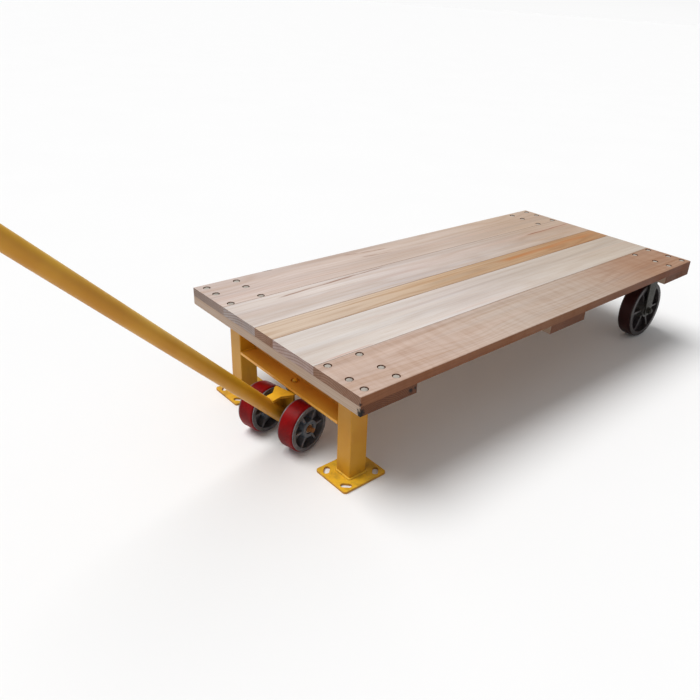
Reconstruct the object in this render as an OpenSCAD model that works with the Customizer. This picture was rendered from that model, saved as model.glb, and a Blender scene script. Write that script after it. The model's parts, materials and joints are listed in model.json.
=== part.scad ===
// Semi-live skid: a hardwood platform on two fixed legs and two rigid casters,
// with a two-wheeled lifting jack whose pin sits in the skid's front crossmember.
// X runs to the rear, Y to the left, Z up. The floor is Z = 0.
// Positions below are measured from the deck's front edge, then moved by shift().

/* [Deck] */
// Deck length
deck_l = 1524; // [1200:1:1900]
// Deck width
deck_w = 741; // [600:1:950]
// Height of the deck's top face above the floor
deck_h = 310; // [285:1:360]
// Thickness of the deck boards
board_t = 25; // [19:0.5:38]
// Gap left in the seams between boards
seam_gap = 0.4; // [0.2:0.1:1]
// Seam between boards 1 and 2, from the centre line
seam_1 = 205; // [190:1:215]
// Seam between boards 2 and 3, from the centre line
seam_2 = 50; // [30:1:70]
// Seam between boards 3 and 4, from the centre line
seam_3 = -32; // [-50:1:-10]
// Seam between boards 4 and 5, from the centre line
seam_4 = -200; // [-208:1:-190]
// Small bevel on the upper edges of every board
board_bevel = 1; // [0.3:0.1:2]

/* [Cleats] */
// Thickness of the three crosswise cleats
cleat_t = 25; // [19:0.5:38]
// Width of each cleat along the skid
cleat_w = 170; // [150:1:200]
// Centre of the middle cleat, from the front edge
middle_cleat_x = 778; // [600:1:900]
// Wood screws in one row up through the middle cleat
screws_per_row = 5; // [3:1:6]
// Shank diameter of those screws
screw_d = 5; // [4:0.5:6]
// Head diameter of those screws
screw_head_d = 10; // [8:0.5:12]

/* [Deck bolts] */
// Bolt shank diameter
bolt_d = 9.5; // [8:0.5:12]
// Hexagon head size across the flats
bolt_af = 14.3; // [12:0.1:19]
// Head thickness
bolt_head_t = 6; // [4:0.5:8]
// Radial clearance of the bolt holes
bolt_play = 0.4; // [0.2:0.1:1]
// Counterbore diameter in the boards
counterbore_d = 21; // [18:0.5:26]
// Counterbore depth
counterbore_depth = 7.5; // [7:0.5:14]
// Front bolt row, from the front edge
front_inset = 29; // [22:1:33]
// Rear bolt row, from the rear edge
rear_inset = 21; // [18:1:30]
// Spacing of the two bolt rows along the skid
bolt_pitch = 95; // [90:1:100]
// Inner bolt line, from the centre line
bolt_y1 = 216; // [214:1:218]
// Middle bolt line, from the centre line
bolt_y2 = 295; // [290:1:298]
// Outer bolt line, from the centre line
bolt_y3 = 347; // [335:1:355]
// Nut thickness
nut_t = 8; // [6:0.5:10]
// Washer diameter under each nut
washer_d = 24; // [20:0.5:28]
// Washer thickness
washer_t = 2; // [1:0.1:3]

/* [Legs] */
// Outside width of the square leg tube
leg_w = 52.8; // [42:0.1:64]
// Wall of the leg tube
leg_wall = 4.8; // [3:0.1:6]
// Outside corner radius of the leg tube
leg_r = 3; // [2:0.5:6]
// Leg centre, from the front edge
leg_x = 81.8; // [78:0.1:90]
// Leg centre, from the centre line
leg_y = 249.5; // [246:0.5:254]
// Foot plate length along the skid
foot_l = 134; // [110:1:160]
// Foot plate width
foot_w = 118; // [100:1:140]
// Foot plate thickness
foot_t = 6; // [4:0.5:10]
// Foot plate corner radius
foot_r = 8; // [4:1:16]
// Length of the foot plate slots, end to end
slot_l = 29; // [20:0.5:34]
// Width of the foot plate slots
slot_w = 15; // [11:0.5:20]
// Distance of each slot's centre from the plate's two nearest edges
slot_inset = 20; // [17:0.5:24]
// Thickness of the plate on top of each leg
cap_t = 6; // [4:0.5:10]
// Length of that plate along the skid
cap_l = 125; // [118:1:135]
// Width of that plate
cap_w = 110; // [104:1:120]

/* [Crossmember] */
// Depth of the crossmember, from its top to its lower face
cross_h = 119; // [100:1:125]
// Width of its two flanges
cross_w = 55; // [48:0.1:56]
// Thickness of its flanges
cross_flange = 8; // [6:0.5:10]
// Thickness of its web
cross_web = 6; // [4:0.5:8]
// Diameter of the pin hole in the lower flange
pin_hole_d = 24; // [21:0.5:30]

/* [Rear casters] */
// Rear wheel diameter
rear_d = 212; // [190:1:216]
// Rear wheel tread width
rear_w = 50.8; // [44:0.1:60]
// Tread thickness
rear_tread = 8; // [5:0.5:14]
// Caster top plate thickness
plate_t = 6; // [4:0.5:8]
// Caster top plate length along the skid
plate_l = 122; // [115:1:135]
// Caster top plate width
plate_w = 106; // [100:1:120]
// Thickness of the fork legs
fork_t = 5; // [3:0.5:7]
// Gap between the fork legs
fork_gap = 60; // [56:0.5:66]
// Fork leg width at the plate
fork_top_w = 54; // [46:1:70]
// Fork leg width at the axle
fork_low_w = 42; // [36:1:56]
// Caster axle bolt diameter
rear_axle_d = 12.7; // [10:0.1:16]

/* [Jack wheels] */
// Jack wheel diameter
jack_d = 132; // [115:1:136]
// Jack wheel tread width
jack_w = 54; // [44:0.5:60]
// Tread thickness
jack_tread = 6; // [4:0.5:12]
// Distance from the jack's middle to each wheel's inner face
jack_gap = 44; // [42:0.5:55]
// Jack axle diameter
jack_axle_d = 19; // [15:0.1:24]
// Diameter of the axle's turned-down ends, outside its retaining rings
axle_tip_d = 13; // [9:0.1:13.5]
// Radial running clearance of every turning fit
run_fit = 0.05; // [0.02:0.01:0.09]

/* [Jack] */
// Centre of the pin hole, from the deck's front edge
hole_x = 88; // [82:0.5:90]
// Gap between the king pin and the side of its loose hole, where it has been pulled
pin_gap = 0.3; // [0.1:0.1:1]
// Jack axle, ahead of the king pin
jack_reach = 50; // [46:0.5:54]
// Angle the jack is steered to the right of straight ahead
steer = 12; // [0:0.5:30]
// Handle tube diameter
handle_d = 38.1; // [32:0.1:42]
// Handle tube wall
handle_wall = 3.2; // [2:0.1:5]
// Handle length from the axle's centre to its end
handle_l = 1220; // [1000:1:1400]
// Handle angle above the floor
handle_pitch = 46; // [42:0.5:52]
// King pin diameter above its collar
pin_d = 15; // [12:0.5:17]
// King pin collar diameter
collar_d = 44; // [36:1:48]
// King pin collar thickness
collar_t = 7; // [5:0.5:9]
// Height of the king pin above the lower flange
pin_up = 8; // [4:0.5:20]
// Thickness of the lug on the post, between the two ears of the king pin
lug_t = 14; // [10:0.5:18]
// Thickness of each ear
ear_t = 8; // [6:0.5:10]
// End radius of the lug and ears about the pivot
lug_r = 10; // [9:0.1:11]
// Pivot bolt diameter
pivot_d = 12.7; // [10:0.1:16]
// Pivot height above the floor
pivot_h = 122; // [120:0.5:123]
// Post width
post_w = 66; // [60:0.5:72]
// Post thickness
post_t = 8; // [6:0.5:10]
// Gusset thickness
gusset_t = 8; // [5:0.5:12]
// Width of the top plate where it meets the handle
strap_w = 30; // [20:1:38]
// Thickness of the top plate
strap_t = 7; // [5:0.5:10]
// Gap between the top plate and the crossmember above it
strap_gap = 2.5; // [1.5:0.1:4]

/* [Hidden] */
$fn = 48;
fn_small = 24;
eps = 0.02;
leave = 0.3;
cleat_z = deck_h - board_t - cleat_t;
board_z = deck_h - board_t;
seam = [deck_w / 2 + seam_gap / 2, seam_1, seam_2, seam_3, seam_4, -deck_w / 2 - seam_gap / 2];
head_z = deck_h - counterbore_depth;
front_x = [front_inset, front_inset + bolt_pitch];
rear_x = [deck_l - rear_inset - bolt_pitch, deck_l - rear_inset];
bolt_ys = [bolt_y1, bolt_y2, bolt_y3];
bolt_r = bolt_d / 2;
cap_x = front_inset + bolt_pitch / 2;
cap_y = (bolt_y1 + bolt_y2) / 2;
caster_x = deck_l - rear_inset - bolt_pitch / 2;
caster_y = cap_y;
leg_top = cleat_z - cap_t;
cross_z = cleat_z - cross_h;
cross_x0 = leg_x - leg_w / 2;
cross_half = leg_y - leg_w / 2;
rear_r = rear_d / 2;
rear_hub_r = 27;
rear_bush_r = rear_axle_d / 2 + 3.2;
rear_roll_r = rear_bush_r + 5;
jack_r = jack_d / 2;
jack_hub_r = 24;
axle_r = jack_axle_d / 2;
jack_roll_r = axle_r + 5;
jack_out = jack_gap + jack_w;
axle_half = jack_out + 12;
lip_t = 3;
lip_in = 3;
well = 9;
pin_u = -jack_reach;
pull = (pin_hole_d - pin_d) / 2 - pin_gap;
pull_way = 44;
pin_x = hole_x - pull * cos(pull_way);
pin_y = -pull * sin(pull_way);
handle_r = handle_d / 2;
pin_top = cross_z + cross_flange + pin_up;
collar_z = cross_z - leave;
web_u = -6;
ear_out = lug_t / 2 + leave + ear_t;
strap_z1 = cross_z - strap_gap;
strap_z0 = strap_z1 - strap_t;
axle_x = pin_x - jack_reach * cos(steer);
tip_x = axle_x - handle_l * cos(handle_pitch) * cos(steer);
low_x = tip_x - handle_r;
mid_x = (low_x + caster_x + rear_r) / 2;

wood_a = [0.78, 0.70, 0.64];
wood_b = [0.80, 0.76, 0.72];
wood_c = [0.72, 0.58, 0.42];
yellow = [0.86, 0.62, 0.12];
zinc = [0.55, 0.55, 0.52];
dark = [0.16, 0.16, 0.17];
red = [0.55, 0.06, 0.09];
maroon = [0.20, 0.07, 0.08];

// ---- placing ----
module shift() translate([-mid_x, 0, 0]) children();

// Jack frame: u forward along the handle, v to the left, origin on the floor under the axle
module jack_frame()
    shift() translate([pin_x, pin_y, 0]) rotate([0, 0, 180 + steer])
        translate([jack_reach, 0, 0]) children();

// A bar along Y between two values
module bar_y(r, y0, y1, n = $fn) translate([0, y1, 0]) rotate([90, 0, 0]) cylinder(r = r, h = y1 - y0, $fn = n);

// ---- deck ----
module bolt_holes(z0, z1, r)
    for (x = concat(front_x, rear_x), y = bolt_ys, s = [-1, 1])
        translate([x, s * y, z0]) cylinder(r = r, h = z1 - z0, $fn = fn_small);

// Only the bolts that fall inside a board
module board_bolts(y0, y1)
    for (x = concat(front_x, rear_x), y = bolt_ys, s = [-1, 1])
        if (s * y > y0 && s * y < y1) translate([x, s * y, 0]) {
            translate([0, 0, board_z - 1]) cylinder(r = bolt_r + bolt_play, h = board_t + 2, $fn = fn_small);
            translate([0, 0, head_z]) cylinder(r = counterbore_d / 2, h = counterbore_depth + 1, $fn = fn_small);
        }

module board(i, shade) {
    y1 = seam[i - 1] - seam_gap / 2;
    y0 = seam[i] + seam_gap / 2;
    color(shade) shift() difference() {
        translate([0, (y0 + y1) / 2, board_z]) rotate([90, 0, 90])
            linear_extrude(deck_l) polygon([
                [-(y1 - y0) / 2, 0], [(y1 - y0) / 2, 0],
                [(y1 - y0) / 2, board_t - board_bevel], [(y1 - y0) / 2 - board_bevel, board_t],
                [-(y1 - y0) / 2 + board_bevel, board_t], [-(y1 - y0) / 2, board_t - board_bevel]]);
        board_bolts(y0, y1);
    }
}
module deck_board_1() board(1, wood_a);
module deck_board_2() board(2, wood_a);
module deck_board_3() board(3, wood_c);
module deck_board_4() board(4, wood_b);
module deck_board_5() board(5, wood_a);

module cleat(x0) translate([x0, -deck_w / 2, cleat_z]) cube([cleat_w, deck_w, cleat_t]);
module front_cleat() color(wood_a) shift() difference() {
    cleat(0);
    bolt_holes(cleat_z - 1, board_z + 1, bolt_r + bolt_play);
}
module rear_cleat() color(wood_a) shift() difference() {
    cleat(deck_l - cleat_w);
    bolt_holes(cleat_z - 1, board_z + 1, bolt_r + bolt_play);
}
module screw_places()
    for (sx = [-1, 1], k = [0:screws_per_row - 1])
        translate([middle_cleat_x + sx * cleat_w * 0.3,
            (k - (screws_per_row - 1) / 2) * (deck_w - 120) / (screws_per_row - 1) + sx * 12, cleat_z])
            children();
module screw_body(play)
    union() {
        cylinder(r1 = screw_head_d / 2 + play, r2 = screw_d / 2 + play, h = screw_d / 2, $fn = fn_small);
        cylinder(r = screw_d / 2 + play, h = cleat_t, $fn = fn_small);
    }
module middle_cleat() color(wood_a) shift() difference() {
    cleat(middle_cleat_x - cleat_w / 2);
    screw_places() translate([0, 0, -eps]) screw_body(0.1);
}
// Countersunk screws driven up from below; the threads in the boards are left out
module cleat_screws() color(zinc) shift() screw_places() difference() {
    screw_body(0);
    translate([0, 0, -1]) cylinder(r = 1.6, h = 3, $fn = 4);
}

// ---- deck bolts ----
function under_z(x, y) = cleat_z - (y == bolt_y3 ? 0 : x < deck_l / 2 ? cap_t : plate_t);
module each_bolt()
    for (x = concat(front_x, rear_x), y = bolt_ys, s = [-1, 1])
        translate([x, s * y, 0]) { $under = under_z(x, y); children(); }
module deck_bolts() color(zinc) shift() each_bolt() {
    translate([0, 0, head_z]) cylinder(d = bolt_af / cos(30), h = bolt_head_t, $fn = 6);
    translate([0, 0, $under - washer_t - nut_t - 3])
        cylinder(r = bolt_r, h = head_z + eps - ($under - washer_t - nut_t - 3), $fn = fn_small);
}
module deck_washers() color(zinc) shift() each_bolt()
    translate([0, 0, $under - washer_t]) difference() {
        cylinder(r = washer_d / 2, h = washer_t, $fn = fn_small);
        translate([0, 0, -1]) cylinder(r = bolt_r, h = washer_t + 2, $fn = fn_small);
    }
module deck_nuts() color(zinc) shift() each_bolt()
    translate([0, 0, $under - washer_t - nut_t]) difference() {
        cylinder(d = bolt_af / cos(30), h = nut_t, $fn = 6);
        translate([0, 0, -1]) cylinder(r = bolt_r, h = nut_t + 2, $fn = fn_small);
    }

// ---- legs ----
module leg(s) color(yellow) shift() translate([leg_x, s * leg_y, foot_t]) difference() {
    rounded_plate(leg_w, leg_w, leg_r, leg_top - foot_t);
    translate([0, 0, -1])
        rounded_plate(leg_w - 2 * leg_wall, leg_w - 2 * leg_wall, max(leg_r - leg_wall, 0.8), leg_top + 2);
}
module left_leg() leg(1);
module right_leg() leg(-1);

module leg_cap(s) color(yellow) shift() difference() {
    translate([cap_x - cap_l / 2, s * cap_y - cap_w / 2, leg_top]) cube([cap_l, cap_w, cap_t]);
    bolt_holes(leg_top - 1, cleat_z + 1, bolt_r + bolt_play);
}
module left_leg_cap() leg_cap(1);
module right_leg_cap() leg_cap(-1);

// Slot lying across the plate's diagonal
module slot(h) {
    translate([-(slot_l - slot_w) / 2, -slot_w / 2, 0]) cube([slot_l - slot_w, slot_w, h]);
    for (k = [-1, 1]) translate([k * (slot_l - slot_w) / 2, 0, 0]) cylinder(r = slot_w / 2, h = h);
}
module rounded_plate(l, w, r, h) {
    translate([-l / 2 + r, -w / 2, 0]) cube([l - 2 * r, w, h]);
    translate([-l / 2, -w / 2 + r, 0]) cube([l, w - 2 * r, h]);
    for (x = [-1, 1], y = [-1, 1]) translate([x * (l / 2 - r), y * (w / 2 - r), 0]) cylinder(r = r, h = h);
}
module foot_plate(s) color(yellow) shift() translate([leg_x, s * leg_y, 0]) difference() {
    rounded_plate(foot_l, foot_w, foot_r, foot_t);
    for (x = [-1, 1], y = [-1, 1])
        translate([x * (foot_l / 2 - slot_inset), y * (foot_w / 2 - slot_inset), -1])
        rotate([0, 0, -45 * x * y]) slot(foot_t + 2);
}
module left_foot_plate() foot_plate(1);
module right_foot_plate() foot_plate(-1);

// Channel between the legs, open to the front, with the pin hole in its lower flange
module crossmember() color(yellow) shift() difference() {
    translate([cross_x0, -cross_half, cross_z]) difference() {
        cube([cross_w, 2 * cross_half, cross_h]);
        translate([-1, -1, cross_flange])
            cube([cross_w - cross_web + 1, 2 * cross_half + 2, cross_h - 2 * cross_flange]);
    }
    translate([hole_x, 0, cross_z - 1]) cylinder(r = pin_hole_d / 2, h = cross_flange + 2);
    leg_cap_notch();
}
// Room for the two leg caps in the top flange
module leg_cap_notch()
    for (s = [-1, 1])
        translate([cap_x - cap_l / 2 - 1, s * cap_y - cap_w / 2 - leave, leg_top - cross_flange])
            cube([cap_l + 2, cap_w + 2 * leave, cap_t + cross_flange + 1]);

// ---- rear casters ----
module fork_side() {
    // one leg seen from the side, X along the skid, Z up, axle at the origin
    top = cleat_z - plate_t - rear_r;
    rotate([90, 0, 0]) linear_extrude(fork_t) polygon([
        [-fork_top_w / 2, top], [fork_top_w / 2, top],
        [fork_top_w / 2, top - 16], [fork_low_w / 2, 0], [-fork_low_w / 2, 0], [-fork_top_w / 2, top - 16]]);
    translate([0, -fork_t, 0]) bar_y(fork_low_w / 2, 0, fork_t);
}
module caster_fork(s) color(zinc) shift() translate([caster_x, s * caster_y, 0]) difference() {
    union() {
        translate([-plate_l / 2, -plate_w / 2, cleat_z - plate_t]) cube([plate_l, plate_w, plate_t]);
        translate([0, fork_gap / 2 + fork_t, rear_r]) fork_side();
        translate([0, -fork_gap / 2, rear_r]) fork_side();
    }
    translate([0, 0, rear_r]) bar_y(rear_axle_d / 2, -fork_gap, fork_gap);
    for (x = [-1, 1], y = [-1, 1])
        translate([x * bolt_pitch / 2, y * (bolt_y2 - bolt_y1) / 2, cleat_z - plate_t - 1])
            cylinder(r = bolt_r + bolt_play, h = plate_t + 2, $fn = fn_small);
}
module left_caster_fork() caster_fork(1);
module right_caster_fork() caster_fork(-1);

module at_casters() for (s = [-1, 1]) shift() translate([caster_x, s * caster_y, rear_r]) scale([1, s, 1]) children();
fork_out = fork_gap / 2 + fork_t;
// Head on the inside, nut on the outside
module caster_axle_bolts() color(zinc) at_casters() {
    bar_y(rear_axle_d / 2, -fork_out - eps, fork_out + 14);
    translate([0, -fork_out, 0]) rotate([90, 0, 0]) cylinder(d = 19 / cos(30), h = 8, $fn = 6);
}
module caster_axle_nuts() color(zinc) at_casters() difference() {
    translate([0, fork_out, 0]) union() {
        bar_y(13, 0, 2);
        translate([0, 2, 0]) rotate([-90, 0, 0]) cylinder(d = 19 / cos(30), h = 9, $fn = 6);
    }
    bar_y(rear_axle_d / 2, fork_out - 1, fork_out + 20);
}
module caster_bushings() color(zinc) at_casters() difference() {
    bar_y(rear_bush_r, -fork_gap / 2, fork_gap / 2);
    bar_y(rear_axle_d / 2, -fork_gap, fork_gap);
}

// ---- wheels, axle along Y through the origin ----
module wheel_bearing(r_in, r_out, w) color(zinc) difference() {
    bar_y(r_out, -w / 2, w / 2);
    bar_y(r_in, -w, w);
}
// Rim, web and hub turned as one, then ribs. The rim's two lips hold the tread in place.
module wheel_core(r, lip_r, w, hub_r, bore_r, hub_w, rim_t, web_t, ribs, rib_t)
    color(dark) {
        difference() {
            rotate([90, 0, 0]) rotate_extrude() polygon([
                [bore_r, -hub_w / 2], [hub_r, -hub_w / 2], [hub_r, -web_t / 2], [r - rim_t, -web_t / 2],
                [r - rim_t, -w / 2], [lip_r, -w / 2], [lip_r, -w / 2 + lip_t], [r, -w / 2 + lip_t],
                [r, w / 2 - lip_t], [lip_r, w / 2 - lip_t], [lip_r, w / 2], [r - rim_t, w / 2],
                [r - rim_t, web_t / 2], [hub_r, web_t / 2], [hub_r, hub_w / 2], [bore_r, hub_w / 2]]);
            bar_y(bore_r, -w, w);
        }
        for (k = [0:ribs - 1]) rotate([0, k * 360 / ribs, 0]) difference() {
            translate([hub_r - 1, -w / 2 + 4, -rib_t / 2]) cube([r - rim_t - hub_r + 2, w - 8, rib_t]);
        }
    }
// Tread with slightly rounded shoulders
module wheel_tread(r, w, t, shade) color(shade) difference() {
    rotate([90, 0, 0]) rotate_extrude() polygon([
        [r - t, -w / 2], [r - 4, -w / 2], [r - 1.2, -w / 2 + 1.2], [r, -w / 2 + 4],
        [r, w / 2 - 4], [r - 1.2, w / 2 - 1.2], [r - 4, w / 2], [r - t, w / 2]]);
    bar_y(r - t, -w, w);
}

module rear_wheel_at(s) shift() translate([caster_x, s * caster_y, rear_r]) children();
rear_hub_w = fork_gap - 2;
module rear_bearing(s) rear_wheel_at(s) wheel_bearing(rear_bush_r + run_fit, rear_roll_r, rear_hub_w - 4);
module rear_core(s) rear_wheel_at(s)
    wheel_core(rear_r - rear_tread, rear_r - lip_in, rear_w, rear_hub_r, rear_roll_r, rear_hub_w, 9, 9, 6, 7);
module rear_tread_at(s) rear_wheel_at(s) wheel_tread(rear_r, rear_w - 2 * lip_t, rear_tread, maroon);
module left_rear_bearing() rear_bearing(1);
module left_rear_core() rear_core(1);
module left_rear_tread() rear_tread_at(1);
module right_rear_bearing() rear_bearing(-1);
module right_rear_core() rear_core(-1);
module right_rear_tread() rear_tread_at(-1);

module jack_wheel_at(s) jack_frame() translate([0, s * (jack_gap + jack_w / 2), jack_r]) children();
module jack_bearing(s) jack_wheel_at(s) wheel_bearing(axle_r + run_fit, jack_roll_r, jack_w - 2 * well);
module jack_core(s) jack_wheel_at(s)
    wheel_core(jack_r - jack_tread, jack_r - lip_in, jack_w, jack_hub_r, jack_roll_r, jack_w, 7, 8, 6, 6);
module jack_tread_at(s) jack_wheel_at(s) wheel_tread(jack_r, jack_w - 2 * lip_t, jack_tread, red);
module left_jack_bearing() jack_bearing(-1);
module left_jack_core() jack_core(-1);
module left_jack_tread() jack_tread_at(-1);
module right_jack_bearing() jack_bearing(1);
module right_jack_core() jack_core(1);
module right_jack_tread() jack_tread_at(1);

// ---- jack ----
// Pin with a rounded top, collar under the flange, and two ears for the pivot bolt
module king_pin() color(yellow) jack_frame() translate([pin_u, 0, 0]) difference() {
    union() {
        translate([0, 0, collar_z - eps]) cylinder(r = pin_d / 2, h = pin_top - pin_d / 2 - collar_z + eps);
        translate([0, 0, pin_top - pin_d / 2]) sphere(r = pin_d / 2);
        translate([0, 0, collar_z - collar_t]) cylinder(r = collar_d / 2, h = collar_t);
        for (s = [-1, 1]) translate([0, s * (ear_out - ear_t / 2), pivot_h]) {
            translate([-lug_r, -ear_t / 2, 0]) cube([2 * lug_r, ear_t, collar_z - collar_t - pivot_h + eps]);
            bar_y(lug_r, -ear_t / 2, ear_t / 2);
        }
    }
    translate([0, 0, pivot_h]) bar_y(pivot_d / 2 + run_fit, -2 * ear_out, 2 * ear_out);
}

module axle_cut() translate([0, 0, jack_r]) bar_y(axle_r, -200, 200);
// Upright plate facing the handle, with a lug behind it for the pivot bolt
module jack_post() color(yellow) jack_frame() difference() {
    union() {
        translate([web_u - post_t, -post_w / 2, jack_r - 6]) cube([post_t, post_w, strap_z0 - jack_r + 6]);
        translate([pin_u, -lug_t / 2, pivot_h - lug_r]) cube([web_u - post_t - pin_u + eps, lug_t, lug_r + 2]);
        translate([pin_u, 0, pivot_h]) bar_y(lug_r, -lug_t / 2, lug_t / 2);
    }
    translate([pin_u, 0, pivot_h]) bar_y(pivot_d / 2, -100, 100);
    axle_cut();
}

// Handle tube, cut to sit on the axle and against the post
module along_handle() translate([0, 0, jack_r]) rotate([0, 90 - handle_pitch, 0]) children();
module handle_tube() color(yellow) jack_frame() difference() {
    along_handle() cylinder(r = handle_r, h = handle_l);
    along_handle() translate([0, 0, 40]) cylinder(r = handle_r - handle_wall, h = handle_l);
    axle_cut();
    translate([web_u - 60, -60, 0]) cube([60, 120, 200]);
}
module handle_cap() color(dark) jack_frame() along_handle() union() {
    translate([0, 0, handle_l]) difference() {
        sphere(r = handle_r);
        translate([0, 0, -handle_r]) cube([3 * handle_r, 3 * handle_r, 2 * handle_r], center = true);
    }
    translate([0, 0, handle_l - 20]) cylinder(r = handle_r - handle_wall, h = 20 + eps);
}

// Distance ahead of the axle at which the handle's upper surface reaches a height
function under_handle(z) = (z - jack_r - handle_r / cos(handle_pitch)) / tan(handle_pitch);
module jack_gusset() color(yellow) jack_frame() difference() {
    translate([0, gusset_t / 2, 0]) rotate([90, 0, 0]) linear_extrude(gusset_t) polygon([
        [web_u, strap_z0], [web_u, jack_r + 8],
        [under_handle(strap_z0) - 4, strap_z0 - 10], [under_handle(strap_z0) - 4, strap_z0]]);
    along_handle() cylinder(r = handle_r, h = handle_l);
    axle_cut();
}
// Top plate: as wide as the post behind, narrowing to the handle
module jack_strap() color(yellow) jack_frame() difference() {
    translate([0, 0, strap_z0]) linear_extrude(strap_t) polygon([
        [web_u - post_t, -post_w / 2], [web_u - 2, -post_w / 2], [18, -strap_w / 2], [46, -strap_w / 2],
        [46, strap_w / 2], [18, strap_w / 2], [web_u - 2, post_w / 2], [web_u - post_t, post_w / 2]]);
    along_handle() cylinder(r = handle_r, h = handle_l);
}

module pivot_bolt() color(zinc) jack_frame() translate([pin_u, 0, pivot_h]) {
    bar_y(pivot_d / 2, -ear_out - leave - eps, ear_out + leave + 11);
    translate([0, -ear_out - leave, 0]) rotate([90, 0, 0]) cylinder(d = 19 / cos(30), h = 7, $fn = 6);
}
module pivot_nut() color(zinc) jack_frame() translate([pin_u, 0, pivot_h]) difference() {
    translate([0, ear_out + leave, 0]) rotate([-90, 0, 0]) cylinder(d = 19 / cos(30), h = 9, $fn = 6);
    bar_y(pivot_d / 2, ear_out, ear_out + 20);
}
// Axle with a shoulder inside each wheel and a groove outside it for the retaining ring
module jack_axle() color(yellow) jack_frame() translate([0, 0, jack_r]) difference() {
    union() {
        bar_y(axle_r, -axle_half, axle_half);
        for (s = [-1, 1]) translate([0, s * (jack_gap + well - 3.5), 0]) bar_y(axle_r + 3, -3, 3);
    }
    for (s = [-1, 1]) translate([0, s * (jack_out - well + 4.6), 0]) difference() {
        bar_y(axle_r + 1, -1, 1);
        bar_y(axle_r - 1.5, -2, 2);
    }
    for (s = [-1, 1]) translate([0, s * (jack_out - well + 8 + 20), 0]) difference() {
        bar_y(axle_r + 1, -20, 20);
        bar_y(axle_tip_d / 2, -21, 21);
    }
}
module axle_washers() color(zinc) jack_frame() for (s = [-1, 1]) translate([0, 0, jack_r]) difference() {
    translate([0, s * (jack_out - well + 2), 0]) bar_y(axle_r + 4, -1.2, 1.2);
    bar_y(axle_r, -200, 200);
}
module axle_rings() color(zinc) jack_frame() for (s = [-1, 1])
    translate([0, s * (jack_out - well + 4.6), jack_r]) difference() {
        bar_y(axle_r + 3, -1, 1);
        bar_y(axle_r - 1.5, -2, 2);
    }

deck_board_1();
deck_board_2();
deck_board_3();
deck_board_4();
deck_board_5();
front_cleat();
middle_cleat();
rear_cleat();
cleat_screws();
deck_bolts();
deck_washers();
deck_nuts();
left_leg();
right_leg();
left_leg_cap();
right_leg_cap();
left_foot_plate();
right_foot_plate();
crossmember();
left_caster_fork();
right_caster_fork();
caster_axle_bolts();
caster_axle_nuts();
caster_bushings();
left_rear_bearing();
left_rear_core();
left_rear_tread();
right_rear_bearing();
right_rear_core();
right_rear_tread();
king_pin();
jack_post();
jack_gusset();
jack_strap();
handle_tube();
handle_cap();
pivot_bolt();
pivot_nut();
jack_axle();
axle_washers();
axle_rings();
left_jack_bearing();
left_jack_core();
left_jack_tread();
right_jack_bearing();
right_jack_core();
right_jack_tread();
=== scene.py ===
import bpy
import json
import math
import random
from mathutils import Matrix, Vector


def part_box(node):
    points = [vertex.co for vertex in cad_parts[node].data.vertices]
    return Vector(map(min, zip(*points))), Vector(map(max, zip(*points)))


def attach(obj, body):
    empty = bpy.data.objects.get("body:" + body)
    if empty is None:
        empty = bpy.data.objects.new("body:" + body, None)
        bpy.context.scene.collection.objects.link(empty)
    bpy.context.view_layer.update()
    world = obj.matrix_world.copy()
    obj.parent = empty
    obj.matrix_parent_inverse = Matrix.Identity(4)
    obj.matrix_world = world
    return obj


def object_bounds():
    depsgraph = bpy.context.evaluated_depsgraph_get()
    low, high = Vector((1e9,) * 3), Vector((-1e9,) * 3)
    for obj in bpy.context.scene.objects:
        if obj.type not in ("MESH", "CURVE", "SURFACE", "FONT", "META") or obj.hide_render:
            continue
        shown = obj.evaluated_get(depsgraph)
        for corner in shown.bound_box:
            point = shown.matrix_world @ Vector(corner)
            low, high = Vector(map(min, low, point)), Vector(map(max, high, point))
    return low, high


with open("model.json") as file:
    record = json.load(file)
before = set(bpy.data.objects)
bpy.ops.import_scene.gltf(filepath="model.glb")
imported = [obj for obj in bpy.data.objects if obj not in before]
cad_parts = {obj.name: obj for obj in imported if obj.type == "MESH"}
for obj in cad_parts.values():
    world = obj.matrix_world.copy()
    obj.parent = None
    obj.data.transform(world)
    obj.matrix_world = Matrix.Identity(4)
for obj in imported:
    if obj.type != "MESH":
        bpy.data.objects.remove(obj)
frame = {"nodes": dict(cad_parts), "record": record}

CAD_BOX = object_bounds()
NODES, RECORD = frame["nodes"], frame["record"]
JOINTS = {j["name"]: j for j in RECORD["behaviour"]["joints"]}
SIDES = ("left", "right")

# The deck's length runs along X, from its front edge to its rear edge
DECK_LO, DECK_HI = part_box("deck_board_5")[0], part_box("deck_board_1")[1]
X0, X1 = DECK_LO.x, DECK_HI.x


def srgb(r, g, b):
    def lin(v):
        v /= 255.0
        return v / 12.92 if v <= 0.04045 else ((v + 0.055) / 1.055) ** 2.4
    return (lin(r), lin(g), lin(b), 1.0)


# ---------------------------------------------------------------- materials
MIX_FAC, MIX_A, MIX_B, MIX_OUT = 0, 6, 7, 2     # a colour Mix node's sockets


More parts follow.
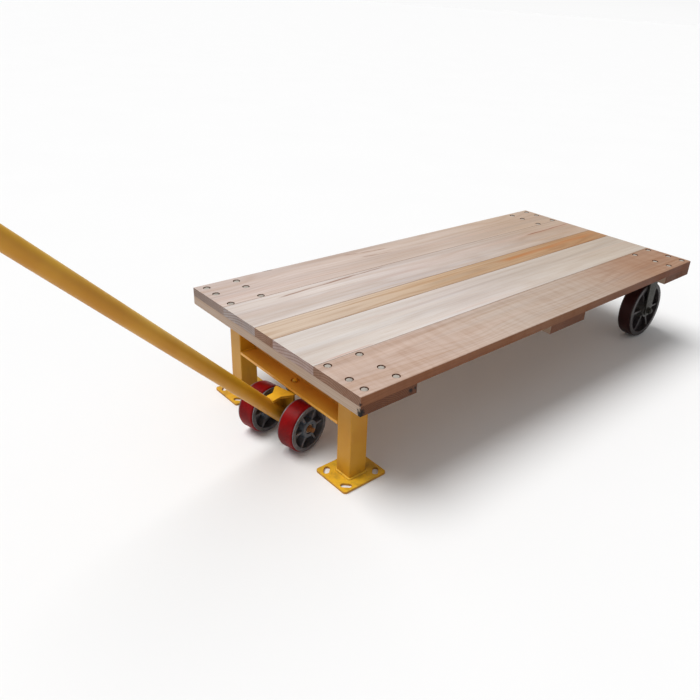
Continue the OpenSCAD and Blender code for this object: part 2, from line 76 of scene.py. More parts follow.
class Mat:
    """A node material with short helpers. A value may be a number, a colour or a socket."""

    def __init__(self, name):
        self.mat = bpy.data.materials.new(name)
        self.mat.use_nodes = True
        self.nt = self.mat.node_tree
        self.bsdf = self.nt.nodes["Principled BSDF"]
        self.obj = self.new("ShaderNodeTexCoord").outputs["Object"]

    def new(self, kind, **props):
        n = self.nt.nodes.new(kind)
        for k, v in props.items():
            setattr(n, k, v)
        return n

    def put(self, socket, value):
        if isinstance(value, bpy.types.NodeSocket):
            self.nt.links.new(value, socket)
        elif value is not None:
            socket.default_value = value

    def math(self, op, a, b=None):
        n = self.new("ShaderNodeMath", operation=op)
        for s, v in zip(n.inputs, (a, b)):
            self.put(s, v)
        return n.outputs[0]

    def add(self, a, b): return self.math("ADD", a, b)
    def sub(self, a, b): return self.math("SUBTRACT", a, b)
    def mul(self, a, b): return self.math("MULTIPLY", a, b)

    def band(self, v, lo, hi, out_lo=0.0, out_hi=1.0):
        """Maps v smoothly from lo..hi to out_lo..out_hi."""
        n = self.new("ShaderNodeMapRange", interpolation_type="SMOOTHSTEP")
        sockets = ("Value", "From Min", "From Max", "To Min", "To Max")
        for s, x in zip(sockets, (v, lo, hi, out_lo, out_hi)):
            self.put(n.inputs[s], x)
        return n.outputs["Result"]

    def vec(self, v, scale):
        n = self.new("ShaderNodeMapping")
        self.put(n.inputs["Vector"], v)
        n.inputs["Scale"].default_value = scale
        return n.outputs["Vector"]

    def vector_math(self, op, a, b=None):
        n = self.new("ShaderNodeVectorMath", operation=op)
        self.put(n.inputs[0], a)
        self.put(n.inputs[1], b)
        return n.outputs

    def xyz(self, v):
        n = self.new("ShaderNodeSeparateXYZ")
        self.put(n.inputs[0], v)
        return n.outputs

    def join(self, x, y, z):
        n = self.new("ShaderNodeCombineXYZ")
        for s, v in zip(n.inputs, (x, y, z)):
            self.put(s, v)
        return n.outputs[0]

    def length(self, *parts):
        """The root of the sum of the parts' squares."""
        total = self.mul(parts[0], parts[0])
        for p in parts[1:]:
            total = self.add(total, self.mul(p, p))
        return self.math("SQRT", total)

    def noise(self, v, scale=1.0, detail=3.0, rough=0.55, warp=0.0):
        n = self.new("ShaderNodeTexNoise")
        self.put(n.inputs["Vector"], v)
        n.inputs["Scale"].default_value = scale
        n.inputs["Detail"].default_value = detail
        n.inputs["Roughness"].default_value = rough
        n.inputs["Distortion"].default_value = warp
        return n.outputs["Fac"]

    def voronoi(self, v, scale, out="Distance"):
        n = self.new("ShaderNodeTexVoronoi")
        self.put(n.inputs["Vector"], v)
        n.inputs["Scale"].default_value = scale
        return n.outputs[out]

    def mix(self, fac, a, b, how="MIX"):
        n = self.new("ShaderNodeMix", data_type="RGBA", blend_type=how)
        self.put(n.inputs[MIX_FAC], fac)
        self.put(n.inputs[MIX_A], a)
        self.put(n.inputs[MIX_B], b)
        return n.outputs[MIX_OUT]

    def cover(self, col, tone, mask, amount):
        """col with tone laid over it where mask is high."""
        return self.mix(self.mul(mask, amount), col, tone)

    def dye(self, col, rgb):
        """col multiplied by rgb."""
        return self.mix(1.0, col, (*rgb, 1), "MULTIPLY")

    def tint(self, col, rgb, mask, amount):
        """col, multiplied by rgb where mask is high."""
        return self.cover(col, self.dye(col, rgb), mask, amount)

    def normal(self):
        return self.new("ShaderNodeNewGeometry").outputs["Normal"]

    def edge(self, radius, flat=0.999, sharp=0.93):
        """1 where the surface turns sharply, 0 on flats. flat and sharp are cosines."""
        bev = self.new("ShaderNodeBevel", samples=4)
        bev.inputs["Radius"].default_value = radius
        dot = self.vector_math("DOT_PRODUCT", bev.outputs[0], self.normal())
        return self.band(dot["Value"], flat, sharp)

    def bump(self, height, strength, distance):
        n = self.new("ShaderNodeBump")
        self.put(n.inputs["Height"], height)
        n.inputs["Strength"].default_value = strength
        n.inputs["Distance"].default_value = distance
        return n.outputs["Normal"]

    def done(self, color, rough, normal=None, metal=None, **more):
        b = self.bsdf
        self.put(b.inputs["Base Color"], color)
        self.put(b.inputs["Roughness"], rough)
        self.put(b.inputs["Normal"], normal)
        self.put(b.inputs["Metallic"], metal)
        for k, v in more.items():
            b.inputs[k.replace("_", " ")].default_value = v
        return self.mat


# Distance along the deck, as a share of its length, at which each tone of a board holds
TONE_AT = (0.16, 0.39, 0.62, 0.85)

# Colour layers in the wood. Each is a grain field (frequency along the grain, frequency across
# it, detail, roughness, warp), the band of it that shows, its strength and its multiplier.
WOOD_LAYERS = (
    ((3.2, 210.0, 4.0, 0.62, 0.0), (0.44, 0.70), 0.50, (0.84, 0.77, 0.71)),     # flecks
    ((1.1, 34.0, 3.0, 0.60, 0.2), (0.50, 0.72), 0.55, (0.86, 0.88, 0.92)),      # cool strips
    ((0.8, 22.0, 2.0, 0.50, 0.4), (0.52, 0.75), 0.50, (1.00, 0.88, 0.84)),      # pink strips
)
LIGHT_WOOD, MID_WOOD, TAN_WOOD = (1.10, 1.09, 1.08), (0.93, 0.90, 0.88), (0.86, 0.72, 0.58)
RING_LINE, FIBRE_TONE, PORE_TONE = (0.72, 0.58, 0.46), (0.80, 0.70, 0.62), (0.62, 0.50, 0.42)
# The second of these two is painted shade for the wood's faces turned down
CURL_TONE, UNDER_SHADE = (0.78, 0.68, 0.60), (0.80, 0.70, 0.60)
END_RING, END_CELL, SAW_MARK = (0.50, 0.38, 0.30), (0.60, 0.48, 0.40), (0.70, 0.62, 0.56)
FACING = (0.6, 0.8)                             # how far a normal's part must point to count


def wood(name, tones, seed, along="x", pith=(0.03, -0.12), ring=0.0045, ring_mix=0.22,
         tan_amount=0.4, figure=0.0, side=(0.52, 0.36, 0.25), end=(0.62, 0.5, 0.42),
         streaks=(), dark_spots=()):
    """Planed maple, grain along X or Y. tones are its colours from the front of the deck to the
    rear; their darkening towards the rear is partly the wood's own tan and partly painted shade.
    The rings are solid, so a board's end shows its own arcs. A streak is (x, y, x, y, half
    width, tone) with x from the deck's front edge; a dark spot is (x, y, z, radius, tone)."""
    m = Mat(name)
    x, y, z = m.xyz(m.obj)[0:3]
    lengthwise, across = (x, y) if along == "x" else (y, x)
    shift = seed * 3.17

    def grain(k_long, k_across, detail, rough=0.55, warp=0.0):
        v = m.join(m.mul(lengthwise, k_long), m.mul(across, k_across),
                   m.add(m.mul(z, k_across), shift))
        return m.noise(v, 1.0, detail, rough, warp)

    # base tone, darker and warmer towards the rear: partly the wood's own tone, partly painted
    # shade
    ramp = m.new("ShaderNodeValToRGB")
    stops = ramp.color_ramp.elements
    while len(stops) < len(tones):
        stops.new(0.5)
    for i, tone in enumerate(tones):
        stops[i].position = TONE_AT[i]
        stops[i].color = tone
    m.put(ramp.inputs[0], m.mul(m.sub(x, X0), 1.0 / (X1 - X0)))
    base = ramp.outputs[0]

    # growth rings round the pith, wandering a little
    wander = m.mul(m.sub(grain(1.3, 4.0, 2.0), 0.5), 0.055)
    ripple = m.mul(m.sub(grain(5.0, 30.0, 3.0), 0.5), 0.005)
    a = m.add(m.sub(across, pith[0]), m.add(wander, ripple))
    b = m.sub(m.sub(z, pith[1]), m.mul(wander, 0.7))
    wave = m.math("SINE", m.mul(m.length(a, b), 2 * math.pi / ring))
    line = m.math("POWER", m.add(m.mul(wave, 0.5), 0.5), 3.0)

    fibre = grain(16.0, 900.0, 2.0)
    pores = grain(30.0, 1500.0, 1.0)
    broad = m.band(grain(0.9, 9.0, 3.0, 0.5), 0.35, 0.65)
    strip = m.band(grain(1.5, 60.0, 4.0, 0.6, 0.3), 0.45, 0.72)
    col = m.mix(broad, m.dye(base, LIGHT_WOOD), m.dye(base, MID_WOOD))
    col = m.cover(col, m.dye(base, TAN_WOOD), strip, tan_amount)
    for field, (lo, hi), amount, rgb in WOOD_LAYERS:
        col = m.tint(col, rgb, m.band(grain(*field), lo, hi), amount)
    col = m.tint(col, RING_LINE, line, ring_mix)
    col = m.tint(col, FIBRE_TONE, m.band(fibre, 0.42, 0.75), 0.28)
    col = m.tint(col, PORE_TONE, m.band(pores, 0.62, 0.8), 0.35)
    if figure:
        v = m.join(m.mul(lengthwise, 60.0), m.mul(across, 9.0), shift)
        curl = m.noise(v, 1.0, 2.0, 0.5, 0.6)
        col = m.tint(col, CURL_TONE, m.band(curl, 0.4, 0.7), figure)

    for from_x, y0, to_x, y1, half_w, tone in streaks:
        x0, x1 = X0 + from_x, X0 + to_x
        t = m.math("DIVIDE", m.sub(x, x0), x1 - x0)
        wob = m.mul(m.sub(m.noise(m.join(m.mul(x, 5.0), shift, 0.0), 1.0, 3.0), 0.5), 0.012)
        off = m.math("ABSOLUTE", m.sub(m.add(y, wob), m.add(m.mul(t, y1 - y0), y0)))
        inside = m.mul(m.band(t, -0.02, 0.12), m.band(t, 1.02, 0.8))
        fade = m.band(grain(7.0, 260.0, 3.0), 0.25, 0.6)
        col = m.cover(col, tone, m.mul(m.band(off, half_w, 0.0), inside), fade)
    # dark spots, fading out from their middle
    for sx, sy, sz, rad, tone in dark_spots:
        d = m.length(m.sub(x, sx), m.sub(y, sy), m.sub(z, sz))
        d = m.add(d, m.mul(m.sub(m.noise(m.obj, 130.0, 5.0, 0.65), 0.5), rad * 2.0))
        col = m.mix(m.band(d, rad, rad * 0.35), col, tone)

    # ends, sides and underside: the sides partly the wood's own darker, oxidised tone and partly
    # painted shade; the underside painted shade
    nx, ny, nz = m.xyz(m.normal())[0:3]
    n_end, n_side = (nx, ny) if along == "x" else (ny, nx)
    is_end = m.band(m.math("ABSOLUTE", n_end), *FACING)
    is_side = m.band(m.math("ABSOLUTE", n_side), *FACING)
    is_under = m.band(nz, -FACING[0], -FACING[1])
    cells = m.band(m.voronoi(m.obj, 900.0), 0.1, 0.6)
    saw = m.band(m.noise(m.join(m.mul(across, 260.0), m.mul(z, 14.0), shift), 1.0, 2.0), 0.45, 0.7)
    raw = m.tint(col, END_RING, line, 0.6)
    raw = m.tint(raw, END_CELL, cells, 0.22)
    raw = m.tint(raw, SAW_MARK, saw, 0.25)
    col = m.mix(is_end, col, m.dye(raw, end))
    # painted shade, mixed with the long edges' own oxidised tone: side faces multiplied by side
    col = m.mix(is_side, col, m.dye(col, side))
    # painted shade: faces turned down multiplied darker
    col = m.mix(is_under, col, m.dye(col, UNDER_SHADE))

    worn = m.band(m.noise(m.obj, 7.0, 4.0), 0.35, 0.75)
    rough = m.band(m.add(m.mul(fibre, 0.6), m.mul(worn, 0.5)), 0.1, 1.0, 0.42, 0.68)
    h = m.add(m.mul(fibre, 0.6), m.add(m.mul(line, 0.25), m.mul(pores, 0.3)))
    h = m.add(h, m.mul(m.mul(is_end, m.add(saw, cells)), 0.8))
    return m.done(col, rough, m.bump(h, 0.35, 0.0004), Specular_IOR_Level=0.16)


def paint(name, color, deep, upright_shade=(0.64, 0.52, 0.45), chips=0.5, dirt=0.4):
    """Powder coat: orange peel, faint tone drift, chips on edges and floor dirt low down.
    The fourth argument multiplies the colour of faces that do not point up, as painted shade."""
    m = Mat(name)
    z = m.xyz(m.obj)[2]
    drift = m.noise(m.obj, 6.0, 3.0)
    col = m.mix(m.band(drift, 0.35, 0.7), color, deep)
    # painted shade: faces that do not point up take the fourth argument's colour multiplier
    upward = m.band(m.xyz(m.normal())[2], 0.05, 0.85)
    col = m.mix(upward, m.dye(col, upright_shade), col)
    smear = m.noise(m.vec(m.obj, (30, 30, 6)), 1.0, 5.0, 0.65)
    col = m.cover(col, srgb(120, 78, 22), m.band(smear, 0.56, 0.8), 0.28)
    chip = m.mul(m.edge(0.0025), m.band(m.noise(m.obj, 55.0, 5.0, 0.7), 0.54, 0.62))
    scuff = m.mul(m.band(m.noise(m.obj, 130.0, 4.0, 0.6), 0.66, 0.72),
                  m.band(m.noise(m.obj, 9.0, 2.0), 0.5, 0.7))
    bare = m.math("MAXIMUM", m.mul(chip, chips), m.mul(scuff, 0.5 * chips))
    col = m.mix(bare, col, srgb(88, 66, 40))
    low = m.mul(m.band(z, 0.05, 0.0), m.band(m.noise(m.obj, 40.0, 5.0, 0.6), 0.4, 0.7))
    col = m.cover(col, srgb(92, 74, 48), low, dirt)
    peel = m.noise(m.obj, 520.0, 2.0)
    rough = m.band(m.add(drift, m.mul(bare, 0.8)), 0.2, 1.2, 0.34, 0.62)
    h = m.sub(m.mul(peel, 0.12), m.mul(bare, 0.6))
    return m.done(col, rough, m.bump(h, 0.5, 0.0006), Specular_IOR_Level=0.30,
                  Coat_Weight=0.06, Coat_Roughness=0.2)


def zinc(name, color, dull, metal):
    """Zinc plate with small spangles and grime in patches."""
    m = Mat(name)
    hue = m.xyz(m.voronoi(m.obj, 260.0, "Color"))[0]
    col = m.tint(color, (0.6, 0.6, 0.58), hue, 0.35)
    grime = m.band(m.noise(m.obj, 45.0, 5.0, 0.65), 0.45, 0.72)
    col = m.cover(col, srgb(58, 50, 42), grime, 0.3)
    scratch = m.noise(m.vec(m.obj, (900, 60, 60)), 1.0, 2.0)
    rough = m.band(m.add(m.mul(hue, 0.4), m.mul(scratch, 0.6)), 0.1, 1.0, dull - 0.12, dull + 0.2)
    h = m.add(scratch, m.mul(grime, 0.5))
    return m.done(col, rough, m.bump(h, 0.25, 0.0002), metal=metal)


def iron(name, color, on_axle, axis, ring_r, ring_polish_and_highlight):
    """Painted casting: sandy skin, rubbed highs, dust in the pockets and a paler ring of radius
    ring_r round the hub, partly polished metal and partly a painted highlight. on_axle is a
    point on the axle, axis its direction."""
    soft = 0.0015                               # half the width of the ring's blurred edge
    m = Mat(name)
    skin = m.noise(m.obj, 420.0, 4.0, 0.65)
    lumps = m.noise(m.obj, 60.0, 3.0)
    col = m.mix(m.band(lumps, 0.35, 0.7), color, m.dye(color, (1.7, 1.6, 1.7)))
    arm = m.vector_math("SUBTRACT", m.obj, on_axle)["Vector"]
    out = m.vector_math("LENGTH", m.vector_math("CROSS_PRODUCT", arm, axis)["Vector"])["Value"]
    # paler hub ring: partly polished metal, partly a painted highlight
    col = m.cover(col, ring_polish_and_highlight, m.band(out, ring_r + soft, ring_r - soft), 0.8)
    rub = m.mul(m.edge(0.002), m.band(m.noise(m.obj, 70.0, 4.0), 0.42, 0.62))
    col = m.cover(col, srgb(128, 126, 124), rub, 0.65)
    dust = m.band(m.noise(m.obj, 28.0, 5.0, 0.6), 0.5, 0.75)
    col = m.cover(col, srgb(96, 84, 72), dust, 0.3)
    rough = m.band(skin, 0.2, 0.8, 0.34, 0.6)
    h = m.add(m.mul(skin, 0.7), lumps)
    return m.done(col, rough, m.bump(h, 0.45, 0.0007), metal=0.12, Specular_IOR_Level=0.4)


def urethane(name, color, deep, dusty, sheen):
    """Cast polyurethane: deep colour, dulled and dusty where it rolls."""
    m = Mat(name)
    cloud = m.noise(m.obj, 22.0, 3.0)
    col = m.mix(m.band(cloud, 0.35, 0.7), color, deep)
    dust = m.band(m.noise(m.obj, 85.0, 6.0, 0.7), 0.52, 0.78)
    col = m.cover(col, dusty, dust, 0.20)
    nick = m.mul(m.band(m.voronoi(m.obj, 140.0), 0.13, 0.03),
                 m.band(m.noise(m.obj, 30.0, 2.0), 0.5, 0.6))
    col = m.tint(col, (0.35, 0.3, 0.3), nick, 0.6)
    fine = m.noise(m.obj, 700.0, 2.0)
    rough = m.band(m.add(m.mul(cloud, 0.4), m.mul(dust, 0.6)), 0.1, 0.9, 0.42, 0.66)
    h = m.sub(m.mul(fine, 0.25), m.mul(nick, 0.8))
    return m.done(col, rough, m.bump(h, 0.4, 0.0005), Specular_IOR_Level=sheen)


def plastic(name, color):
    m = Mat(name)
    skin = m.noise(m.obj, 500.0, 2.0)
    rubbed = m.band(m.noise(m.obj, 40.0, 4.0), 0.5, 0.75)
    col = m.cover(color, srgb(84, 80, 76), rubbed, 0.3)
    return m.done(col, m.band(skin, 0.2, 0.8, 0.42, 0.6), m.bump(skin, 0.2, 0.0003))


def steel(name, color):
    m = Mat(name)
    turned = m.noise(m.vec(m.obj, (500, 500, 500)), 1.0, 3.0)
    grease = m.band(m.noise(m.obj, 60.0, 4.0), 0.45, 0.7)
    col = m.cover(color, srgb(48, 40, 32), grease, 0.6)
    return m.done(col, m.band(turned, 0.2, 0.8, 0.28, 0.5), m.bump(turned, 0.2, 0.0002), metal=0.9)


YELLOW = paint("yellow_coat", srgb(236, 186, 50), srgb(222, 166, 36))
# A darker, duller copy of the yellow coat for the crossmember: painted shade for its place under
# the deck; its upright faces are lifted a little instead of darkened.
SHADED_CROSS_COAT = paint("yellow_coat_shaded_copy", srgb(222, 168, 66), srgb(208, 150, 54), (1.05, 0.98, 1.2))
WORN = paint("worn_axle_coat", srgb(178, 118, 60), srgb(128, 84, 44), (1, 0.95, 0.9), 0.9, 0.8)
ZINC = zinc("zinc_fastener", srgb(196, 188, 178), 0.45, 0.35)
ZINC_D = zinc("zinc_caster", srgb(56, 54, 48), 0.55, 0.4)
STEEL = steel("bearing_steel", srgb(150, 146, 140))
BLACK = plastic("black_plug", srgb(34, 34, 36))
RED = urethane("red_tread", srgb(128, 4, 8), srgb(102, 3, 6), srgb(112, 34, 30), 0.10)
MAROON = urethane("maroon_tread", srgb(44, 14, 14), srgb(34, 10, 10), srgb(54, 38, 36), 0.18)


# ---------------------------------------------------------------- looks of the frame's nodes
BEVEL_ANGLE = math.radians(32)                  # sharper edges than this are rounded


def finish_node(node, mat, bevel=0.0, segs=2):
    o = NODES[node]
    o.data.materials.clear()
    o.data.materials.append(mat)
    if bevel:
        b = o.modifiers.new("edge", "BEVEL")
        b.width, b.segments, b.limit_method, b.angle_limit = bevel, segs, "ANGLE", BEVEL_ANGLE
        b.harden_normals = False
        b.use_clamp_overlap = True


WOOD_EDGE = 0.0012
GREY, RUST = srgb(104, 84, 74), srgb(128, 78, 50)
BOARD = {
    "deck_board_1": dict(
        tones=(srgb(205, 191, 185), srgb(198, 183, 174), srgb(195, 180, 170), srgb(186, 166, 149)),
        seed=1, pith=(0.36, 0.12), ring=0.006, ring_mix=0.24, tan_amount=0.35,
        end=(0.47, 0.44, 0.42),
        streaks=((0.52, 0.347, 0.71, 0.324, 0.0035, RUST),
                 (0.56, 0.303, 0.69, 0.292, 0.003, RUST),
                 (0.225, 0.368, 0.262, 0.364, 0.0035, GREY))),
    "deck_board_2": dict(
        tones=(srgb(211, 203, 199), srgb(203, 193, 189), srgb(198, 187, 180), srgb(183, 164, 148)),
        seed=2, pith=(0.10, 0.05), ring=0.007, ring_mix=0.24, tan_amount=0.28,
        end=(0.54, 0.53, 0.55),
        streaks=((0.15, 0.174, 0.46, 0.194, 0.0062, srgb(138, 96, 72)),
                 (0.30, 0.182, 0.58, 0.196, 0.003, RUST),
                 (1.24, 0.146, 1.54, 0.154, 0.005, srgb(132, 76, 44)))),
    "deck_board_3": dict(
        tones=(srgb(199, 181, 163), srgb(196, 171, 144), srgb(187, 158, 127), srgb(180, 142, 104)),
        seed=3, pith=(0.00, 0.22), ring=0.005, ring_mix=0.40, tan_amount=0.75,
        end=(0.44, 0.32, 0.27),
        streaks=((0.9, 0.012, 1.54, 0.02, 0.018, srgb(176, 118, 70)),)),
    "deck_board_4": dict(
        tones=(srgb(216, 211, 207), srgb(210, 203, 200), srgb(196, 187, 179), srgb(189, 178, 166)),
        seed=4, pith=(-0.15, 0.02), ring=0.008, ring_mix=0.20, tan_amount=0.22,
        end=(0.59, 0.50, 0.50),
        streaks=((0.0, -0.192, 0.2, -0.196, 0.005, srgb(196, 160, 146)),)),
    "deck_board_5": dict(
        tones=(srgb(193, 172, 160), srgb(185, 170, 159), srgb(176, 160, 148), srgb(162, 130, 108)),
        seed=5, pith=(-0.27, 0.16), ring=0.006, ring_mix=0.26, tan_amount=0.50,
        figure=0.30, end=(0.48, 0.37, 0.30), side=(0.42, 0.21, 0.10),
        # a dark spot at the deck's near front corner, low on the board
        dark_spots=((X0, DECK_LO.y, DECK_LO.z + 0.006, 0.006, srgb(44, 28, 22)),)),
}
for node, looks in BOARD.items():
    finish_node(node, wood("wood_" + node, **looks), WOOD_EDGE)

CLEAT = dict(tones=(srgb(200, 176, 154),) * len(TONE_AT), along="y", ring=0.005, ring_mix=0.3,
             tan_amount=0.45, end=(0.26, 0.125, 0.06), side=(0.66, 0.68, 0.72))
# Dark spots on the front cleat's right end: rearward, up, radius, tone
CLEAT_DARK_SPOTS = ((0.0, 0.008, 0.017, srgb(16, 12, 12)),
                (0.15, 0.012, 0.009, srgb(30, 16, 12)),
                (0.165, 0.016, 0.006, srgb(26, 14, 10)))
for i, node in enumerate(("front_cleat", "middle_cleat", "rear_cleat")):
    lo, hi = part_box(node)
    looks = dict(CLEAT, seed=11 + i, pith=(lo.x + 0.05, lo.z - 0.06))
    if node == "front_cleat":
        looks["dark_spots"] = [(lo.x + dx, lo.y, lo.z + dz, r, tone)
                           for dx, dz, r, tone in CLEAT_DARK_SPOTS]
    finish_node(node, wood("wood_" + node, **looks), WOOD_EDGE)

# Nodes, their material and the width of their rounded edges
PLAIN = (
    (("left_leg", "right_leg", "handle_tube"), YELLOW, 0.0),
    (("left_leg_cap", "right_leg_cap", "left_foot_plate", "right_foot_plate",
      "king_pin", "jack_post", "jack_gusset", "jack_strap"), YELLOW, 0.0009),
    (("jack_axle",), WORN, 0.0009),
    (("handle_cap",), BLACK, 0.0),
    (("deck_bolts", "deck_washers", "deck_nuts", "cleat_screws",
      "pivot_bolt", "pivot_nut", "axle_washers", "axle_rings"), ZINC, 0.0004),
    (("left_caster_fork", "right_caster_fork", "caster_axle_bolts",
      "caster_axle_nuts", "caster_bushings"), ZINC_D, 0.0008),
)
for group, mat, bevel in PLAIN:
    for node in group:
        finish_node(node, mat, bevel)
finish_node("crossmember", SHADED_CROSS_COAT, 0.0025, 3)

# Wheels: their tread's material, their core's tone, and its hub ring's tone (partly polished
# metal, partly a painted highlight) and radius
WHEELS = (("rear", MAROON, srgb(48, 44, 44), srgb(78, 76, 72), 0.034),
          ("jack", RED, srgb(86, 85, 86), srgb(102, 110, 120), 0.0285))
for side in SIDES:
    for kind, tread, tone, ring_polish_and_highlight, ring_r in WHEELS:
        wheel = f"{side}_{kind}"
        spin = JOINTS[wheel + "_wheel_spin"]
        core = iron("cast_core_" + wheel, tone, Vector(spin["pos_m"]),
                    Vector(spin["axis"]).normalized(), ring_r, ring_polish_and_highlight)
        finish_node(wheel + "_bearing", STEEL, 0.0005)
        finish_node(wheel + "_core", core, 0.0014, 3)
        finish_node(wheel + "_tread", tread, 0.001)


# ---------------------------------------------------------------- weld beads
def add_mesh(name, verts, faces, mat, body):
    me = bpy.data.meshes.new(name)
    me.from_pydata([tuple(v) for v in verts], [], faces)
    me.validate()
    for p in me.polygons:
        p.use_smooth = True
    o = bpy.data.objects.new(name, me)
    bpy.context.scene.collection.objects.link(o)
    me.materials.append(mat)
    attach(o, body)


BEAD_SIDES = 8                                  # corners of a bead's cross section
RIPPLE, STEPS = 0.0035, 4                       # a ripple's length, and rings of corners in one
TILT = Vector((0.31, 0.17, 0.93))               # a direction that no bead follows


def bead(verts, faces, path, r, closed=False, seed=0):
    """Appends a rippled weld bead of radius r that follows path."""
    rnd = random.Random(seed)
    pts = [Vector(p) for p in path]
    if closed:
        pts = pts + [pts[0]]
    line = []
    for a, b in zip(pts, pts[1:]):
        n = max(1, int((b - a).length / (RIPPLE / STEPS)))
        line += [a.lerp(b, i / n) for i in range(n)]
    if not closed:
        line.append(pts[-1])
    count, base, k = len(line), len(verts), BEAD_SIDES
    for i, p in enumerate(line):
        after = line[(i + 1) % count] if closed or i + 1 < count else p
        before = line[i - 1] if closed or i > 0 else p
        way = after - before
        t = way.normalized() if way.length > 1e-9 else Vector((1, 0, 0))
        u = t.cross(TILT).normalized()
        w = t.cross(u)
        phase = (i % STEPS) / STEPS
        rr = r * (0.92 + 0.09 * math.sin(math.pi * phase) + rnd.uniform(-0.03, 0.03))
        if not closed and i in (0, count - 1):
            rr *= 0.55                          # an open bead tapers at its ends
        for j in range(k):
            a = 2 * math.pi * j / k
            verts.append(p + (u * math.cos(a) + w * math.sin(a)) * rr)
    for i in range(count if closed else count - 1):
        here, there = base + i * k, base + (i + 1) % count * k
        for j in range(k):
            j2 = (j + 1) % k
            faces.append((here + j, here + j2, there + j2, there + j))
    if not closed:
        faces.append(tuple(base + j for j in reversed(range(k))))
        faces.append(tuple(base + (count - 1) * k + j for j in range(k)))


def rounded_path(lo, hi, z, r=0.003, n=5):
    """Round a square tube's outline at height z, with corners of radius r in n steps."""
    corners = ((hi.x - r, hi.y - r), (lo.x + r, hi.y - r),
               (lo.x + r, lo.y + r), (hi.x - r, lo.y + r))
    out = []
    for quarter, (cx, cy) in enumerate(corners):
        for i in range(n + 1):
            a = math.radians(90 * quarter + 90 * i / n)
            out.append((cx + r * math.cos(a), cy + r * math.sin(a), z))
    return out


# Skid: round each leg at its foot and top, and where the crossmember's ends meet the legs
FOOT_BEAD, CAP_BEAD, CROSS_BEAD = 0.0044, 0.0028, 0.0022
wv, wf = [], []
cross_lo, cross_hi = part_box("crossmember")
FLANGE_TOP = cross_lo.z + 0.0082
WEB_TOP = cross_hi.z - 0.02
CROSS_RUNS = (                                  # x, z to x, z: flange top and bottom, web's faces
    (cross_lo.x + 0.004, FLANGE_TOP, cross_hi.x - 0.007, FLANGE_TOP),
    (cross_lo.x + 0.004, cross_lo.z, cross_hi.x - 0.003, cross_lo.z),
    (cross_hi.x - 0.0062, cross_lo.z + 0.01, cross_hi.x - 0.0062, WEB_TOP),
    (cross_hi.x - 0.001, cross_lo.z + 0.004, cross_hi.x - 0.001, WEB_TOP),
)
for i, side in enumerate(SIDES):
    lo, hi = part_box(side + "_leg")
    bead(wv, wf, rounded_path(lo, hi, lo.z), FOOT_BEAD, True, seed=i)
    bead(wv, wf, rounded_path(lo, hi, hi.z - 0.0005), CAP_BEAD, True, seed=10 + i)
    y_in = lo.y - 0.0004 if side == "left" else hi.y + 0.0004
    for k, (xa, za, xb, zb) in enumerate(CROSS_RUNS):
        bead(wv, wf, [(xa, y_in, za), (xb, y_in, zb)], CROSS_BEAD, seed=20 + 10 * k + i)
add_mesh("weld_beads_skid", wv, wf, YELLOW, "skid")

# Jack frame from its joints: u towards the handle, v to the left, w up
axle_c = Vector(JOINTS["left_jack_wheel_spin"]["pos_m"])
left = Vector(JOINTS["jack_lift"]["axis"]).normalized()
up = Vector((0, 0, 1))
fwd = up.cross(left)
cap_lo, cap_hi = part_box("handle_cap")
tip = (cap_lo + cap_hi) / 2
pitch = math.atan2((tip - axle_c).z, (tip - axle_c).dot(fwd))
along_handle = fwd * math.cos(pitch) + up * math.sin(pitch)
over_handle = -fwd * math.sin(pitch) + up * math.cos(pitch)
strap_lo, strap_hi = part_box("jack_strap")
PLATE_W = strap_lo.z - axle_c.z                 # top plate's underside above the axle
PLATE_TOP = PLATE_W + (strap_hi.z - strap_lo.z)
PLATE_END = 0.0461                              # the top plate's end on the handle
HANDLE_R, AXLE_R = 0.01905, 0.0095
HANDLE_BEAD_OUT = 0.0185                        # the gusset's weld, from the handle's middle
POST_U, POST_V = -0.006, 0.033                  # upright plate's face and half width
AXLE_WELD_V = 0.0182                            # where the axle leaves the upright plate's weld
GUSSET_V, GUSSET_W, GUSSET_U = 0.004, 0.026, 0.031      # half thickness, low end, outer end
BEAD_S, BEAD_M, BEAD_L, BEAD_END = 0.0020, 0.0022, 0.0026, 0.0024
ARCH_V, LAP_V, ARC_STEPS = 0.0168, 0.0148, 12   # half widths of the two curved welds


def jack_point(u, v, w):
    return axle_c + fwd * u + left * v + up * w


wv, wf = [], []
for s in (-1, 1):
    turn = [2 * math.pi * i / 20 for i in range(20)]
    ring = [jack_point(AXLE_R * math.cos(a), s * AXLE_WELD_V, AXLE_R * math.sin(a)) for a in turn]
    bead(wv, wf, ring, BEAD_M, True, seed=60 + s)
    bead(wv, wf, [jack_point(POST_U, s * 0.006, PLATE_W),
                  jack_point(POST_U, s * (POST_V - 0.002), PLATE_W)], BEAD_L, seed=62 + s)
    bead(wv, wf, [jack_point(POST_U, s * GUSSET_V, GUSSET_W),
                  jack_point(POST_U, s * GUSSET_V, PLATE_W - 0.004)], BEAD_S, seed=65 + s)
    bead(wv, wf, [jack_point(POST_U + 0.003, s * GUSSET_V, PLATE_W),
                  jack_point(GUSSET_U, s * GUSSET_V, PLATE_W)], BEAD_S, seed=68 + s)
    bead(wv, wf, [axle_c + along_handle * k + over_handle * HANDLE_BEAD_OUT + left * (s * GUSSET_V)
                  for k in (0.012, 0.030, 0.048, 0.065)], BEAD_S, seed=71 + s)
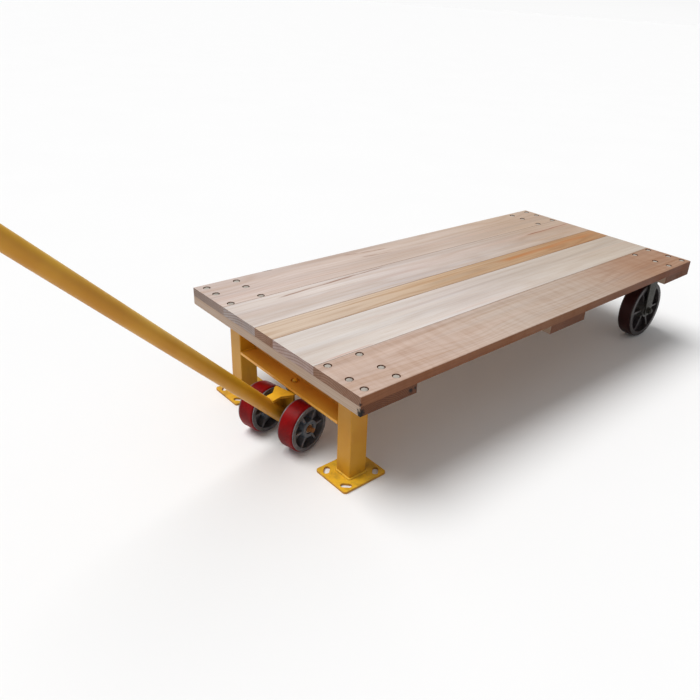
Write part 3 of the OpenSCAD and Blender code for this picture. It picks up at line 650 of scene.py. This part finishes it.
# where the handle's end meets the post, and where the top plate's end meets the handle
arch, lap = [], []
for i in range(ARC_STEPS + 1):
    v = -ARCH_V + 2 * ARCH_V * i / ARC_STEPS
    arch.append(jack_point(POST_U, v, (math.sqrt(HANDLE_R ** 2 - v * v) + POST_U * math.sin(pitch))
                           / math.cos(pitch)))
    v = -LAP_V + 2 * LAP_V * i / ARC_STEPS
    crest = math.sqrt(HANDLE_R ** 2 - v * v) / math.cos(pitch)
    u = min(PLATE_END, (PLATE_TOP - crest) / math.tan(pitch))
    lap.append(jack_point(u, v, min(PLATE_TOP, u * math.tan(pitch) + crest) + 0.0002))
bead(wv, wf, arch, BEAD_END, seed=74)
bead(wv, wf, lap, BEAD_END, seed=75)
add_mesh("weld_beads_jack", wv, wf, YELLOW, "jack")

# ---------------------------------------------------------------- floor, lights, camera
FLOOR_HALF = 300.0
me = bpy.data.meshes.new("floor")
me.from_pydata([(-FLOOR_HALF, -FLOOR_HALF, 0), (FLOOR_HALF, -FLOOR_HALF, 0),
                (FLOOR_HALF, FLOOR_HALF, 0), (-FLOOR_HALF, FLOOR_HALF, 0)], [], [(0, 1, 2, 3)])
floor = bpy.data.objects.new("floor", me)
bpy.context.scene.collection.objects.link(floor)
floor.location.z = CAD_BOX[0].z - 0.0003
fm = Mat("floor_pale")
pale = fm.mix(fm.noise(fm.obj, 1.5, 3.0), (0.85, 0.85, 0.85, 1), (0.87, 0.87, 0.87, 1))
me.materials.append(fm.done(pale, 0.9, Specular_IOR_Level=0.1))

# Studio: a white wall all round that dims towards the ceiling, and one broad soft sun
WALL_LIGHT, CEILING_LIGHT, WALL_TOP = 0.96, 0.38, 0.20      # WALL_TOP is a direction's z
world = bpy.data.worlds.new("studio")
bpy.context.scene.world = world
world.use_nodes = True
wt = world.node_tree
bg = wt.nodes["Background"]
way = wt.nodes.new("ShaderNodeTexCoord")
rise = wt.nodes.new("ShaderNodeSeparateXYZ")
dim = wt.nodes.new("ShaderNodeMapRange")
dim.interpolation_type = "SMOOTHSTEP"
for key, v in (("From Min", 0.0), ("From Max", WALL_TOP),
               ("To Min", WALL_LIGHT), ("To Max", CEILING_LIGHT)):
    dim.inputs[key].default_value = v
wt.links.new(way.outputs["Generated"], rise.inputs[0])
wt.links.new(rise.outputs[2], dim.inputs["Value"])
wt.links.new(dim.outputs["Result"], bg.inputs["Strength"])
bg.inputs["Color"].default_value = (1.0, 1.0, 1.0, 1)

sun = bpy.data.lights.new("soft_sun", "SUN")
sun.energy, sun.angle = 2.65, math.radians(38)
sun_o = bpy.data.objects.new("soft_sun", sun)
sun_o.rotation_euler = Vector((0.34, -0.30, -1.0)).to_track_quat("-Z", "Y").to_euler()
bpy.context.scene.collection.objects.link(sun_o)

# The camera as solved from the photo: 700 pixels square, focal length and centre in pixels
PHOTO_PX, FOCAL_PX, CENTRE_PX, SENSOR_MM = 700, 678.83, (404.963, 331.391), 36.0
cam_data = bpy.data.cameras.new("photo_camera")
cam = bpy.data.objects.new("photo_camera", cam_data)
bpy.context.scene.collection.objects.link(cam)
bpy.context.scene.camera = cam
right = Vector((0.72888, -0.68168, 0.06360)).normalized()
look = Vector((0.634626, 0.637858, -0.436334)).normalized()
cam_up = right.cross(look).normalized()
right = look.cross(cam_up).normalized()
pos = Vector((X0 - 0.814492, -1.307709, 1.074861))
cam.matrix_world = Matrix(((right.x, cam_up.x, -look.x, pos.x),
                           (right.y, cam_up.y, -look.y, pos.y),
                           (right.z, cam_up.z, -look.z, pos.z),
                           (0, 0, 0, 1)))
cam_data.sensor_width = SENSOR_MM
cam_data.lens = FOCAL_PX / PHOTO_PX * SENSOR_MM
cam_data.shift_x = 0.5 - CENTRE_PX[0] / PHOTO_PX
cam_data.shift_y = CENTRE_PX[1] / PHOTO_PX - 0.5
cam_data.clip_end = 1500
cam_data.dof.use_dof = False
bpy.context.scene.view_settings.view_transform = "Standard"
